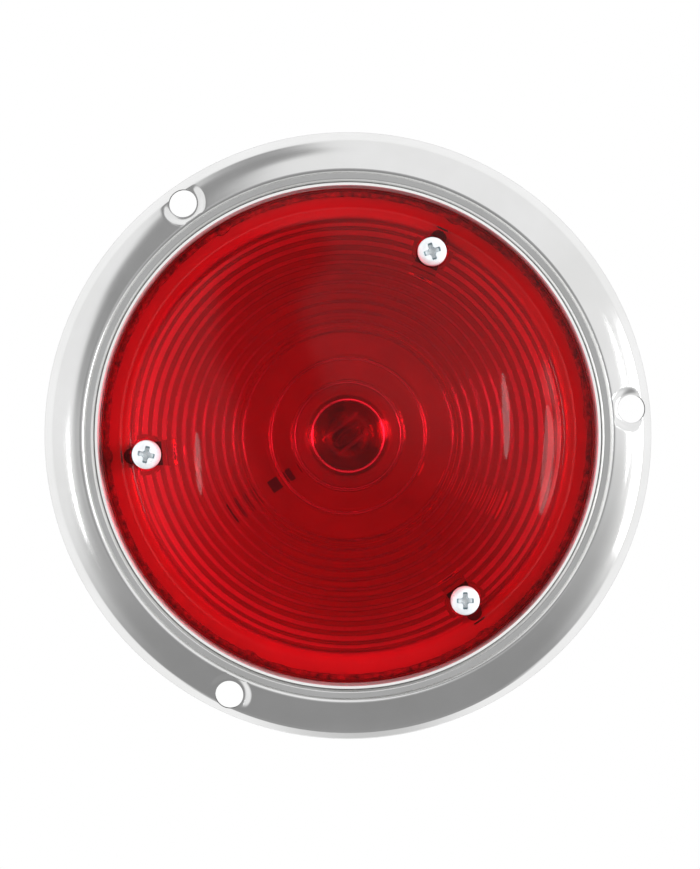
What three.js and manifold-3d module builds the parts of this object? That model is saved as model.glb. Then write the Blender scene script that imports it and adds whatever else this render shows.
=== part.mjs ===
// A flush-mount trailer tail light: a polished flange, a drawn steel cup, a red lens held by three
// screws, and a two-filament bulb in a sprung bayonet socket.
//
// Millimetres. The lamp faces -Y and stands with +Z up. The origin is the centre of the panel plane,
// the face of the panel that the mounting gasket lies against. A height is the distance in front of
// that plane, towards -Y, so whatever lies behind the panel has a negative height. Angles are in
// degrees, anticlockwise from +X as seen from the front.

import * as THREE from 'three';
import { mergeVertices } from 'three/addons/utils/BufferGeometryUtils.js';
import Module from 'manifold-3d';

const manifold = await Module();
manifold.setup();

// ---- Driving dimensions ----

const SHEET = 0.8; // thickness of the drawn steel sheet
const GAP = 0.3; // clearance between pieces that rest on each other

const FLANGE_RADIUS = 69.85; // half of 5 1/2 inches
const MOUNT_CIRCLE = 65.1; // radius of the 5 1/8 inch bolt circle
const MOUNT_HOLE_RADIUS = 3.2;
const MOUNT_ANGLES = [0, 120, 240];

const SCREW_CIRCLE = 46; // radius of the 3 5/8 inch circle of lens screws
const SCREW_ANGLES = [60, 180, 300];
const SCREW_SHANK_RADIUS = 1.75; // number 6 screw
const SCREW_HEAD_RADIUS = 3.43;
const SCREW_HEAD_HEIGHT = 2.1;
const SCREW_LENGTH = 12.7; // 1/2 inch under the head
const SCREW_HOLE_RADIUS = 2.05;

const GASKET_FRONT = 1.5;
const SHELF_MIDDLE = 2.2; // middle of the shelf that carries the lens
const COLLAR_TOP = 8.4;
const COLLAR_MIDDLE = 57.35; // radius to the middle of the collar round the lens
const CUP_RADIUS = 49.3; // middle of the cup's wall, where it leaves the shelf
const CUP_REAR_RADIUS = 46.3;
const REAR_WALL = -41.3;

const LENS_RADIUS = 56.4;
const LENS_RIM_BACK = 5;
const LENS_RIM_FRONT = 7.6;
const LENS_STEP_RADIUS = 52;
const DOME_RADIUS = 49.3;
const DOME_EDGE = 8.3;
const DOME_TOP = 20;
const DOME_WALL = 2.6;
const POCKET_RADIUS = 3.75;
const POCKET_FLOOR = 7.4;
const BOSS_WALL = 0.9;
const BOSS_BACK = 5.4;
const KEY_BACK = 4.6;

const BULB_TIP = 10;
const BULB_GLASS_RADIUS = 13.25;
const BULB_NECK_RADIUS = 6.6;
const BULB_NECK_END = -27;
const BULB_GLASS_WALL = 0.8;
const BULB_BASE_RADIUS = 7.6;
const BULB_BASE_FRONT = -22;
const BULB_BASE_BACK = -39.2;
const PIN_RADIUS = 1;
const PIN_REACH = 8.7;
const PINS = [{ angle: 81, height: -31.5 }, { angle: 261, height: -34.5 }];
const FILAMENT_ANGLE = 32.6;
const BULB_PUSH = 2.5; // travel against the contact spring
const BULB_TURN = 18; // degrees from locked to the way out

const SOCKET_INNER_RADIUS = 7.9;
const SOCKET_OUTER_RADIUS = 8.5;
const SOCKET_FRONT = -23.2;
const SOCKET_BACK = -55.6;
const CONTACT_OFFSET = 3.1; // of each contact from the axis
const CONTACT_ANGLES = [0, 180];

const ROUND = 40; // facets round the lamp's large rings
const SMALL_ROUND = 16; // facets round the bulb, the socket and the holes

// ---- Outlines ----

// A line through corners given as [radius, height, rounding], each rounded corner as a short curve.
function rounded(corners, steps = 2) {
  const points = corners.map(([radius, height]) => new THREE.Vector2(radius, height));
  return corners.flatMap(([, , rounding = 0], i) => {
    const corner = points[i];
    if (rounding === 0) {
      return [corner];
    }
    const back = points[i - 1].clone().sub(corner).normalize();
    const ahead = points[i + 1].clone().sub(corner).normalize();
    const run = rounding / Math.tan(Math.acos(back.dot(ahead)) / 2);
    const start = corner.clone().addScaledVector(back, run);
    const end = corner.clone().addScaledVector(ahead, run);
    return new THREE.QuadraticBezierCurve(start, corner, end).getPoints(steps);
  });
}

// The closed outline of a sheet of even thickness that follows a line of points.
function sheetOutline(middle, thickness = SHEET) {
  const side = (offset) => middle.map((point, i) => {
    const before = middle[Math.max(i - 1, 0)];
    const after = middle[Math.min(i + 1, middle.length - 1)];
    const along = after.clone().sub(before).normalize();
    return new THREE.Vector2(point.x - along.y * offset, point.y + along.x * offset);
  });
  return [...side(thickness / 2), ...side(-thickness / 2).reverse()];
}

// Part of a circle centred on the axis, from its top on the axis out to a given edge.
function domeLine(top, edgeRadius, edgeHeight, steps) {
  const drop = top - edgeHeight;
  const radius = (edgeRadius ** 2 + drop ** 2) / (2 * drop);
  const reach = Math.atan2(edgeRadius, radius - drop);
  return Array.from({ length: steps + 1 }, (_, i) => {
    const angle = (reach * i) / steps;
    return new THREE.Vector2(radius * Math.sin(angle), top - radius + radius * Math.cos(angle));
  });
}

// ---- Shapes ----

// An outline of (radius, height) points turned round the lamp's axis.
function turned(outline, facets = ROUND) {
  const points = outline.map(({ x, y }) => new THREE.Vector2(x, -y));
  if (THREE.ShapeUtils.area(points) < 0) {
    points.reverse();
  }
  const onAxis = points.some(({ x }) => x === 0);
  if (onAxis) {
    while (points[0].x !== 0 || points[points.length - 1].x !== 0) {
      points.push(points.shift());
    }
  } else {
    points.push(points[0].clone());
  }
  return new THREE.LatheGeometry(points, facets);
}

function ring(inner, outer, back, front, facets = ROUND) {
  return turned(rounded([[inner, back], [outer, back], [outer, front], [inner, front]]), facets);
}

// A round bar along the lamp's axis between two heights.
function bar(radius, back, front, facets = SMALL_ROUND) {
  const geometry = new THREE.CylinderGeometry(radius, radius, front - back, facets);
  return geometry.translate(0, -(front + back) / 2, 0);
}

// A round bar that points away from the axis along +X, between two radii.
function spoke(radius, from, to, height, facets = SMALL_ROUND) {
  const geometry = new THREE.CylinderGeometry(radius, radius, to - from, facets);
  return geometry.rotateZ(Math.PI / 2).translate((from + to) / 2, -height, 0);
}

// A flat shape, drawn as seen from the front, with its thickness between two heights.
function plate(shape, back, front) {
  const options = { depth: front - back, bevelEnabled: false, curveSegments: 4 };
  return new THREE.ExtrudeGeometry(shape, options).rotateX(Math.PI / 2).translate(0, -back, 0);
}

// Moves a shape out from the axis, then round it.
function placed(geometry, angle, radius = 0) {
  return geometry.translate(radius, 0, 0).rotateY(-THREE.MathUtils.degToRad(angle));
}

// ---- Joining and cutting ----

function solid(geometry) {
  geometry.deleteAttribute('normal');
  geometry.deleteAttribute('uv');
  const welded = mergeVertices(geometry);
  const corners = [...welded.index.array];
  const triangles = [];
  for (let i = 0; i < corners.length; i += 3) {
    const [a, b, c] = corners.slice(i, i + 3);
    if (a !== b && b !== c && c !== a) {
      triangles.push(a, b, c);
    }
  }
  const mesh = new manifold.Mesh({
    numProp: 3,
    vertProperties: welded.attributes.position.array,
    triVerts: Uint32Array.from(triangles),
  });
  return new manifold.Manifold(mesh);
}

function joined(geometries) {
  return geometries.map(solid).reduce((whole, piece) => whole.add(piece));
}

function cut(body, geometries) {
  return geometries.map(solid).reduce((rest, tool) => rest.subtract(tool), body);
}

function shapeOf(body) {
  const mesh = body.getMesh();
  const geometry = new THREE.BufferGeometry();
  geometry.setAttribute('position', new THREE.BufferAttribute(mesh.vertProperties, 3));
  geometry.setIndex(new THREE.BufferAttribute(mesh.triVerts, 1));
  geometry.computeVertexNormals();
  return geometry;
}

// ---- Materials ----

function material(color, roughness, metalness) {
  return new THREE.MeshStandardMaterial({ color, roughness, metalness });
}

const polishedSteel = material(0xd9d9d8, 0.15, 1);
const platedSteel = material(0xc4c5c6, 0.35, 1);
const darkSteel = material(0x3a3634, 0.5, 1);
const zincPlate = material(0xe2e6e8, 0.3, 1);
const redPlastic = material(0xc4141c, 0.15, 0);
const blackRubber = material(0x1c1a19, 0.8, 0);
const greyRubber = material(0x5f5753, 0.85, 0);
const foamRubber = material(0x242221, 0.95, 0);
const clearGlass = material(0xe8ecec, 0.05, 0);
const brass = material(0xb9974f, 0.35, 1);
const tungsten = material(0x6c6c6e, 0.4, 1);
const springSteel = material(0x9a9b9c, 0.35, 1);
const phenolic = material(0x5b2c17, 0.6, 0);
const blackGlass = material(0x141416, 0.25, 0);
const solder = material(0xa9abad, 0.4, 1);

const lamp = new THREE.Group();

function add(name, geometry, look) {
  const mesh = new THREE.Mesh(geometry, look);
  mesh.name = name;
  lamp.add(mesh);
}

// ---- Mounting: gasket and flange ----

function mountingGasket() {
  const innerRadius = 53;
  const outerRadius = 69.4;
  const blank = solid(ring(innerRadius, outerRadius, 0, GASKET_FRONT));
  const holes = MOUNT_ANGLES.map((angle) => (
    placed(bar(MOUNT_HOLE_RADIUS + 0.2, -1, GASKET_FRONT + 1), angle, MOUNT_CIRCLE)));
  return shapeOf(cut(blank, holes));
}

// A stamped ring: a turned-down outer lip, a sloping face that flattens inwards, a small step down
// to a flat band, and a leg that stands round the cup's collar.
function flangeRing() {
  const middle = rounded([
    [FLANGE_RADIUS - SHEET / 2, GASKET_FRONT + GAP],
    [67.5, 4.75, 1.2],
    [64.3, 6.25, 16],
    [60.6, 6.95, 0.6],
    [60.1, 6.2, 0.4],
    [58.5, 6.15, 0.5],
    [58.5, 3.4],
  ]);
  const holes = MOUNT_ANGLES.map((angle) => placed(bar(MOUNT_HOLE_RADIUS, 1, 10), angle, MOUNT_CIRCLE));
  return shapeOf(cut(solid(turned(sheetOutline(middle))), holes));
}

// ---- Housing: cup, lens gasket, screw tabs ----

const GROUND = { angle: 330, radius: 30, hole: 1.8 };
const VENT = { angle: 208.6, inner: 15.4, outer: 21.6, halfWidth: 1.5 };
const WEEP = { angle: 270, radius: 1.6, height: -33 };

function ventSlot(back, front) {
  const { inner, outer, halfWidth } = VENT;
  const slot = new THREE.Shape();
  slot.moveTo(inner, -halfWidth);
  slot.lineTo(outer, -halfWidth);
  slot.lineTo(outer, halfWidth);
  slot.lineTo(inner, halfWidth);
  return placed(plate(slot, back, front), VENT.angle);
}

// A deep-drawn cup: a collar round the lens, a shelf under it, a tapered wall and a rear wall.
function housingCup() {
  const middle = rounded([
    [COLLAR_MIDDLE, COLLAR_TOP],
    [COLLAR_MIDDLE, SHELF_MIDDLE, 1],
    [CUP_RADIUS, SHELF_MIDDLE, 1.2],
    [CUP_REAR_RADIUS, REAR_WALL, 5],
    [SOCKET_OUTER_RADIUS + GAP, REAR_WALL],
  ]);
  const back = REAR_WALL - 2;
  const front = REAR_WALL + 2;
  return shapeOf(cut(solid(turned(sheetOutline(middle))), [
    placed(bar(GROUND.hole, back, front), GROUND.angle, GROUND.radius),
    ventSlot(back, front),
    placed(spoke(WEEP.radius, CUP_REAR_RADIUS - 4, CUP_RADIUS + 4, WEEP.height), WEEP.angle),
  ]));
}

const SHELF_TOP = SHELF_MIDDLE + SHEET / 2;

function lensGasket() {
  return ring(53.9, 55.9, SHELF_TOP + GAP, LENS_RIM_BACK - GAP);
}

// A tapped clip on the shelf that a lens screw turns into: square at its inner end, with a narrow
// round-ended tongue outwards and a short collar behind it for more thread.
function screwTab(angle) {
  const thickness = 1.2;
  const start = 41.5;
  const shoulder = 48.2;
  const halfWidth = 2.7;
  const tongueHalfWidth = 1.8;
  const tongueEnd = 49.4;
  const collarRadius = 2.5;
  const back = SHELF_TOP + GAP;
  const outline = new THREE.Shape();
  outline.moveTo(start, -halfWidth);
  outline.lineTo(shoulder, -halfWidth);
  outline.lineTo(tongueEnd, -tongueHalfWidth);
  outline.absarc(tongueEnd, 0, tongueHalfWidth, -Math.PI / 2, Math.PI / 2, false);
  outline.lineTo(shoulder, halfWidth);
  outline.lineTo(start, halfWidth);
  const blank = joined([
    plate(outline, back, back + thickness),
    bar(collarRadius, back - 1.6, back + thickness / 2).translate(SCREW_CIRCLE, 0, 0),
  ]);
  const hole = bar(SCREW_HOLE_RADIUS, back - 3, back + 3).translate(SCREW_CIRCLE, 0, 0);
  return placed(shapeOf(cut(blank, [hole])), angle);
}

// ---- Lens and its screws ----

const domeFront = domeLine(DOME_TOP, DOME_RADIUS, DOME_EDGE, 8);
const domeBack = domeLine(DOME_TOP - DOME_WALL, DOME_RADIUS - 1, LENS_RIM_BACK, 7);
const lensFront = [
  ...domeFront,
  ...rounded([
    [LENS_STEP_RADIUS - 0.4, DOME_EDGE - 0.2],
    [LENS_STEP_RADIUS, LENS_RIM_FRONT],
    [LENS_RADIUS, LENS_RIM_FRONT, 0.5],
    [LENS_RADIUS, LENS_RIM_BACK],
  ]),
];

// A round boss behind the dome that gives a screw its seat, with a radial key across it.
function screwBoss(angle) {
  const keyHalfWidth = 2.9;
  const key = new THREE.Shape();
  key.moveTo(40.6, -keyHalfWidth);
  key.lineTo(50, -keyHalfWidth);
  key.lineTo(50, keyHalfWidth);
  key.lineTo(40.6, keyHalfWidth);
  const boss = joined([
    plate(key, KEY_BACK, DOME_TOP),
    bar(POCKET_RADIUS + BOSS_WALL, BOSS_BACK, DOME_TOP).translate(SCREW_CIRCLE, 0, 0),
  ]);
  return placed(shapeOf(boss), angle);
}

function lens() {
  const shell = solid(turned([...lensFront, ...domeBack.slice().reverse()]));
  const floor = rounded([[LENS_RADIUS, KEY_BACK], [0, KEY_BACK]]);
  const underFront = solid(turned([...lensFront, ...floor]));
  const bosses = joined(SCREW_ANGLES.map(screwBoss)).intersect(underFront);
  const pockets = SCREW_ANGLES.map((angle) => (
    placed(bar(POCKET_RADIUS, POCKET_FLOOR, DOME_TOP), angle, SCREW_CIRCLE)));
  const holes = SCREW_ANGLES.map((angle) => (
    placed(bar(SCREW_HOLE_RADIUS, 0, DOME_TOP), angle, SCREW_CIRCLE)));
  return shapeOf(cut(shell.add(bosses), [...pockets, ...holes]));
}

const WASHER_BACK = POCKET_FLOOR + GAP;
const WASHER_FRONT = WASHER_BACK + 0.6;
const HEAD_BACK = WASHER_FRONT + GAP;

function screwWasher(angle) {
  return placed(ring(SCREW_HOLE_RADIUS, 3.2, WASHER_BACK, WASHER_FRONT, SMALL_ROUND), angle, SCREW_CIRCLE);
}

// A pan-head screw with a cross recess, its cross turned by the given number of degrees.
function lensScrew(angle, recessTurn) {
  const top = HEAD_BACK + SCREW_HEAD_HEIGHT;
  const recessSpan = 4;
  const recessWidth = 1;
  const recessDepth = 1.2;
  const profile = rounded([
    [0, top],
    [SCREW_HEAD_RADIUS, top, 1.4],
    [SCREW_HEAD_RADIUS, HEAD_BACK],
    [SCREW_SHANK_RADIUS, HEAD_BACK],
    [SCREW_SHANK_RADIUS, HEAD_BACK - SCREW_LENGTH + 0.7],
    [SCREW_SHANK_RADIUS - 0.6, HEAD_BACK - SCREW_LENGTH],
    [0, HEAD_BACK - SCREW_LENGTH],
  ]);
  const arms = [0, 90].map((turn) => new THREE.BoxGeometry(recessSpan, 2 * recessDepth, recessWidth)
    .translate(0, -top, 0)
    .rotateY(-THREE.MathUtils.degToRad(turn + recessTurn)));
  const screw = cut(solid(turned(profile, SMALL_ROUND)), arms);
  return placed(shapeOf(screw), angle, SCREW_CIRCLE);
}

// ---- Socket ----

// A tube with two beads that grip the cup's rear wall, a turned-in rear lip and a bayonet slot for
// each pin: a straight way in from the front, and a window in which the pin turns and is pushed.
function socketShell() {
  const beadRadius = 10.2;
  const wallFront = REAR_WALL + SHEET / 2 + GAP;
  const wallBack = REAR_WALL - SHEET / 2 - GAP;
  const lipRadius = 6.6;
  const tube = joined([
    ring(SOCKET_INNER_RADIUS, SOCKET_OUTER_RADIUS, SOCKET_BACK, SOCKET_FRONT, SMALL_ROUND),
    ring(SOCKET_INNER_RADIUS + 0.3, beadRadius, wallFront, wallFront + SHEET, SMALL_ROUND),
    ring(SOCKET_INNER_RADIUS + 0.3, beadRadius, wallBack - SHEET, wallBack, SMALL_ROUND),
    ring(lipRadius, SOCKET_OUTER_RADIUS, SOCKET_BACK, SOCKET_BACK + 0.8, SMALL_ROUND),
  ]);
  const room = PIN_RADIUS + 0.35;
  const slots = PINS.flatMap(({ angle, height }) => {
    const windowFront = height + room;
    const windowBack = height - BULB_PUSH - room;
    const window = new THREE.BoxGeometry(5, windowFront - windowBack, 5.7)
      .translate(SOCKET_OUTER_RADIUS, -(windowFront + windowBack) / 2, 0);
    const wayIn = new THREE.BoxGeometry(5, SOCKET_FRONT + 1 - windowBack, 2 * room)
      .translate(SOCKET_OUTER_RADIUS, -(SOCKET_FRONT + 1 + windowBack) / 2, 0);
    return [placed(window, angle + BULB_TURN / 2), placed(wayIn, angle + BULB_TURN)];
  });
  return shapeOf(cut(tube, slots));
}

const RIVET_FRONT = -41.8;
const DISC_FRONT = RIVET_FRONT - 0.8 - GAP;
const DISC_BACK = DISC_FRONT - 2;
const REAR_DISC_FRONT = -52.3;
const REAR_DISC_BACK = SOCKET_BACK + 0.8 + GAP;

// A round insulating disc with a hole at each contact's place.
function discWithHoles(radius, holeRadius, back, front) {
  const holes = CONTACT_ANGLES.map((angle) => (
    placed(bar(holeRadius, back - 1, front + 1), angle, CONTACT_OFFSET)));
  return shapeOf(cut(solid(bar(radius, back, front)), holes));
}

function contactRivet(angle) {
  const rivet = turned(rounded([
    [0, RIVET_FRONT], [1.7, RIVET_FRONT, 0.4], [1.7, RIVET_FRONT - 0.8], [1, RIVET_FRONT - 0.8],
    [1, DISC_BACK - 0.8], [0, DISC_BACK - 0.8],
  ]), SMALL_ROUND);
  return placed(rivet, angle, CONTACT_OFFSET);
}

// The line down the middle of the contact spring's wire.
class SpringLine extends THREE.Curve {
  getPoint(share) {
    const turns = 3.5;
    const radius = 5.9;
    const angle = share * turns * 2 * Math.PI;
    const height = THREE.MathUtils.lerp(DISC_BACK - 0.9, REAR_DISC_FRONT + 0.9, share);
    return new THREE.Vector3(radius * Math.cos(angle), -height, radius * Math.sin(angle));
  }
}

// A round wire that follows a curve.
function wire(curve, radius, steps, facets = 6) {
  const section = new THREE.Shape();
  section.absarc(0, 0, radius, 0, 2 * Math.PI, false);
  const options = { steps, extrudePath: curve, curveSegments: facets / 2, bevelEnabled: false };
  return new THREE.ExtrudeGeometry(section, options);
}

// A rubber plug in the back of the socket that the two leads pass through.
function wireGrommet() {
  const neckRadius = 6.2;
  const flange = SOCKET_BACK - GAP;
  const body = solid(turned(rounded([
    [0, REAR_DISC_BACK - GAP],
    [neckRadius, REAR_DISC_BACK - GAP],
    [neckRadius, flange],
    [7.8, flange],
    [7.8, flange - 1.5, 0.5],
    [5.4, flange - 2.5],
    [4.6, flange - 5.4],
    [0, flange - 5.4],
  ]), SMALL_ROUND));
  const bores = CONTACT_ANGLES.map((angle) => placed(bar(1.1, -70, -50, 12), angle, 2.6));
  return shapeOf(cut(body, bores));
}

// ---- Bulb ----

function bulbGlass() {
  const centre = BULB_TIP - BULB_GLASS_RADIUS;
  const shell = (inset) => {
    const globe = BULB_GLASS_RADIUS - inset;
    const neck = BULB_NECK_RADIUS - inset;
    const waist = Math.PI - Math.asin(neck / globe) - 0.12;
    const round = Array.from({ length: 10 }, (_, i) => {
      const angle = (waist * i) / 9;
      return new THREE.Vector2(i === 0 ? 0 : globe * Math.sin(angle), centre + globe * Math.cos(angle));
    });
    return [...round, new THREE.Vector2(neck, -17.5), new THREE.Vector2(neck, BULB_NECK_END)];
  };
  return turned([...shell(0), ...shell(BULB_GLASS_WALL).reverse()], SMALL_ROUND);
}

function bulbBase() {
  const wall = 0.5;
  const tube = ring(BULB_BASE_RADIUS - wall, BULB_BASE_RADIUS, BULB_BASE_BACK, BULB_BASE_FRONT, SMALL_ROUND);
  const pins = PINS.map(({ angle, height }) => (
    placed(spoke(PIN_RADIUS, BULB_BASE_RADIUS - wall / 2, PIN_REACH, height, 12), angle)));
  return shapeOf(joined([tube, ...pins]));
}

function bulbStem() {
  return turned(rounded([
    [0, -26.6], [5.2, -26.6], [5.2, -25.8], [2.4, -24], [2.4, -14], [0, -14],
  ]), SMALL_ROUND);
}

// A filament across the top of its two supports.
function filament(halfLength, offset, height) {
  const stemTop = -13.6;
  const line = new THREE.CurvePath();
  const corners = [[-1.2, stemTop], [-halfLength, height], [halfLength, height], [1.2, stemTop]]
    .map(([across, level]) => new THREE.Vector3(across, -level, offset));
  for (let i = 0; i < corners.length - 1; i += 1) {
    line.add(new THREE.LineCurve3(corners[i], corners[i + 1]));
  }
  const smooth = new THREE.CatmullRomCurve3(line.getSpacedPoints(8));
  return placed(wire(smooth, 0.3, 12), FILAMENT_ANGLE);
}

function bulbInsulator() {
  return bar(6.7, BULB_BASE_BACK - 1, BULB_BASE_BACK + 1);
}

function bulbContact(angle) {
  const back = BULB_BASE_BACK - 1 - GAP;
  const tip = turned(rounded([[0, back], [1.7, back], [1.7, back - 0.3], [1.1, back - 1], [0, back - 1]]), 12);
  return placed(tip, angle, CONTACT_OFFSET);
}

// ---- Ground connection on the cup ----

function groundRivet() {
  const front = REAR_WALL + SHEET / 2 + GAP;
  const back = REAR_WALL - SHEET / 2 - GAP - SHEET - GAP;
  const rivet = turned(rounded([
    [0, front + 1.2], [2.8, front + 1.2, 1], [2.8, front], [1.5, front],
    [1.5, back], [2.6, back], [2.6, back - 1.2, 1], [0, back - 1.2],
  ]), SMALL_ROUND);
  return placed(rivet, GROUND.angle, GROUND.radius);
}

// A ring terminal behind the rear wall, with an empty barrel for the ground lead.
function groundTerminal() {
  const front = REAR_WALL - SHEET / 2 - GAP;
  const back = front - SHEET;
  const eye = 3.6;
  const tongue = new THREE.Shape();
  tongue.moveTo(0, -2);
  tongue.lineTo(7, -2);
  tongue.lineTo(7, 2);
  tongue.lineTo(0, 2);
  const barrelRadius = 2;
  const blank = joined([
    plate(tongue, back, front),
    bar(eye, back, front),
    spoke(barrelRadius, 6.5, 12, front - barrelRadius, 16),
  ]);
  const body = cut(blank, [
    bar(GROUND.hole, back - 1, front + 1),
    spoke(barrelRadius - 0.7, 7.6, 13, front - barrelRadius, 16),
  ]);
  return placed(shapeOf(body), GROUND.angle, GROUND.radius);
}

// ---- Assembly ----

add('mounting_gasket', mountingGasket(), foamRubber);
add('flange_ring', flangeRing(), polishedSteel);
add('housing_cup', housingCup(), platedSteel);
add('lens_gasket', lensGasket(), greyRubber);
add('lens', lens(), redPlastic);

const RECESS_TURNS = [43, -17, -35]; // each screw stopped at its own angle
SCREW_ANGLES.forEach((angle, i) => {
  add(`screw_tab_${i + 1}`, screwTab(angle), darkSteel);
  add(`screw_washer_${i + 1}`, screwWasher(angle), blackRubber);
  add(`lens_screw_${i + 1}`, lensScrew(angle, RECESS_TURNS[i]), zincPlate);
});

add('socket_shell', socketShell(), platedSteel);
add('contact_disc', discWithHoles(7.5, 1.3, DISC_BACK, DISC_FRONT), phenolic);
CONTACT_ANGLES.forEach((angle, i) => add(`contact_rivet_${i + 1}`, contactRivet(angle), brass));
add('contact_spring', wire(new SpringLine(), 0.45, 42), springSteel);
add('rear_insulator', discWithHoles(7.5, 1.4, REAR_DISC_BACK, REAR_DISC_FRONT), phenolic);
add('wire_grommet', wireGrommet(), blackRubber);

add('bulb_glass', bulbGlass(), clearGlass);
add('bulb_base', bulbBase(), brass);
add('bulb_stem', bulbStem(), clearGlass);
add('stop_filament', filament(3.6, 2.2, -2), tungsten);
add('tail_filament', filament(3, -1.6, -5), tungsten);
add('bulb_insulator', bulbInsulator(), blackGlass);
CONTACT_ANGLES.forEach((angle, i) => add(`bulb_contact_${i + 1}`, bulbContact(angle), solder));

add('ground_rivet', groundRivet(), platedSteel);
add('ground_terminal', groundTerminal(), brass);

export default lamp;
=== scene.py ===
import math

import bmesh
import bpy
from mathutils import Matrix, Vector, noise


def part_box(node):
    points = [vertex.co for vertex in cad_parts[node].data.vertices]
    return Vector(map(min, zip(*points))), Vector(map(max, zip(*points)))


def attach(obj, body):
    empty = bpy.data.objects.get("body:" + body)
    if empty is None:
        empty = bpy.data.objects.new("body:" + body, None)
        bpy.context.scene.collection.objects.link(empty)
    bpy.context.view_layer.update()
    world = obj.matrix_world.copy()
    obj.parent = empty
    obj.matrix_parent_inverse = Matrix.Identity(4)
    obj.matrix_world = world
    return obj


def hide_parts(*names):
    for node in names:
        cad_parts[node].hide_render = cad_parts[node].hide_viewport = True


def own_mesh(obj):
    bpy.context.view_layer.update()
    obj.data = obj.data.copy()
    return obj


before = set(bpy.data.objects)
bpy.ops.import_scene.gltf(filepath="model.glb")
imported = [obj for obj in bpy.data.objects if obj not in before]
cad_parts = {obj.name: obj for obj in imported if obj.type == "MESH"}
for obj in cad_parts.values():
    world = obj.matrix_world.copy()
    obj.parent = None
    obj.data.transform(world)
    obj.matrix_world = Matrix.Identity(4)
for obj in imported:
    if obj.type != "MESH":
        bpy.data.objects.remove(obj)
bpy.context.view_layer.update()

# The looks of a flush-mount trailer tail light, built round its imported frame.
#
# The lamp faces -Y with +Z up, and the origin is the centre of the panel plane. Blender works in
# metres, but an outline is written in millimetres: a radius from the lamp's axis and a height in
# front of the panel plane. An azimuth is in degrees, anticlockwise from +X as seen from the front.

MM = 0.001

# ---- Sizes that the looks share with the frame ----


def node_top(node):
    """How far in front of the panel plane a CAD node reaches, in mm."""
    return -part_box(node)[0][1] / MM


def node_back(node):
    """The height of a CAD node's rear end, in mm."""
    return -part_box(node)[1][1] / MM


def node_radius(node):
    """The outer radius of a CAD node that is centred on the lamp's axis, in mm."""
    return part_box(node)[1][2] / MM


FLANGE_RADIUS = node_radius("flange_ring")
FLANGE_BACK = node_back("flange_ring")
SHEET = 0.8
GAP = 0.3
GASKET_FRONT = node_top("mounting_gasket")

COLLAR_TOP = node_top("housing_cup")
COLLAR_MIDDLE = 57.35
SHELF_TOP = node_back("lens_gasket") - GAP
SHELF_MIDDLE = 2.2
CUP_RADIUS = 49.3
CUP_REAR_RADIUS = 46.3
REAR_WALL = -41.3

LENS_RADIUS = node_radius("lens")
LENS_RIM_FRONT = 7.6
LENS_RIM_BACK = 5.0
LENS_STEP_RADIUS = 52.0
DOME_RADIUS = 49.3
DOME_EDGE = 8.3
DOME_TOP = node_top("lens")
DOME_WALL = 2.6

MOUNT_CIRCLE = 65.1
MOUNT_HOLE = 3.2
MOUNT_AZIMUTHS = (0, 120, 240)
SCREW_CIRCLE = 46.0
SCREW_AZIMUTHS = (60, 180, 300)
HEAD_RADIUS = 3.3
SHANK_RADIUS = 1.75
SCREW_LENGTH = 12.7
SCREW_HOLE = 2.05
SCREW_TOP = node_top("lens_screw_1")
HEAD_HEIGHT = 2.1
POCKET_RADIUS = 3.75
POCKET_FLOOR = 7.4
BOSS_RADIUS = 4.65
BOSS_BACK = 5.4
KEY_BACK = 4.6

# ---- Outlines: lists of (radius, height) in mm ----


def rounded(corners, steps=6):
    """A line through corners (radius, height[, rounding]), with each rounded corner as an arc."""
    points = [Vector(corner[:2]) for corner in corners]
    line = []
    for i, corner in enumerate(corners):
        rounding = corner[2] if len(corner) > 2 else 0
        if not rounding:
            line.append(tuple(points[i]))
            continue
        back = (points[i - 1] - points[i]).normalized()
        ahead = (points[(i + 1) % len(points)] - points[i]).normalized()
        half = back.angle(ahead) / 2
        run = rounding / math.tan(half)
        middle = points[i] + (back + ahead).normalized() * rounding / math.sin(half)
        start = points[i] + back * run - middle
        end = points[i] + ahead * run - middle
        sweep = start.angle_signed(end)
        for step in range(steps + 1):
            turn = Matrix.Rotation(-sweep * step / steps, 2)
            line.append(tuple(middle + turn @ start))
    return line


def sheet(middle, thickness=SHEET):
    """The closed outline of a sheet of even thickness along a line, with its two edges eased."""
    sides = []
    for offset in (thickness / 2, -thickness / 2):
        side = []
        for i, (radius, height) in enumerate(middle):
            before = Vector(middle[max(i - 1, 0)])
            after = Vector(middle[min(i + 1, len(middle) - 1)])
            along = (after - before).normalized()
            ease = 0.75 if i in (0, len(middle) - 1) else 1
            side.append((radius - along.y * offset * ease, height + along.x * offset * ease))
        sides.append(side)
    return sides[0] + sides[1][::-1]


def arc_line(top, edge_radius, edge_height, steps):
    """Part of a circle centred on the axis, from its top on the axis out to its edge."""
    drop = top - edge_height
    radius = (edge_radius ** 2 + drop ** 2) / (2 * drop)
    reach = math.asin(edge_radius / radius)
    return [
        (radius * math.sin(reach * i / steps), top - radius + radius * math.cos(reach * i / steps))
        for i in range(steps + 1)
    ]


def band(inner, outer, back, front, rounding=0.2):
    """The outline of a plain ring with eased corners."""
    return rounded([
        (inner, back, rounding), (outer, back, rounding),
        (outer, front, rounding), (inner, front, rounding),
    ], 3)


# ---- Meshes ----


def place(radius, azimuth, height):
    """A point in metres from a radius and a height in mm and an azimuth in radians."""
    return Vector((radius * math.cos(azimuth), -height, radius * math.sin(azimuth))) * MM


def even_azimuths(steps):
    return [2 * math.pi * i / steps for i in range(steps)]


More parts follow.
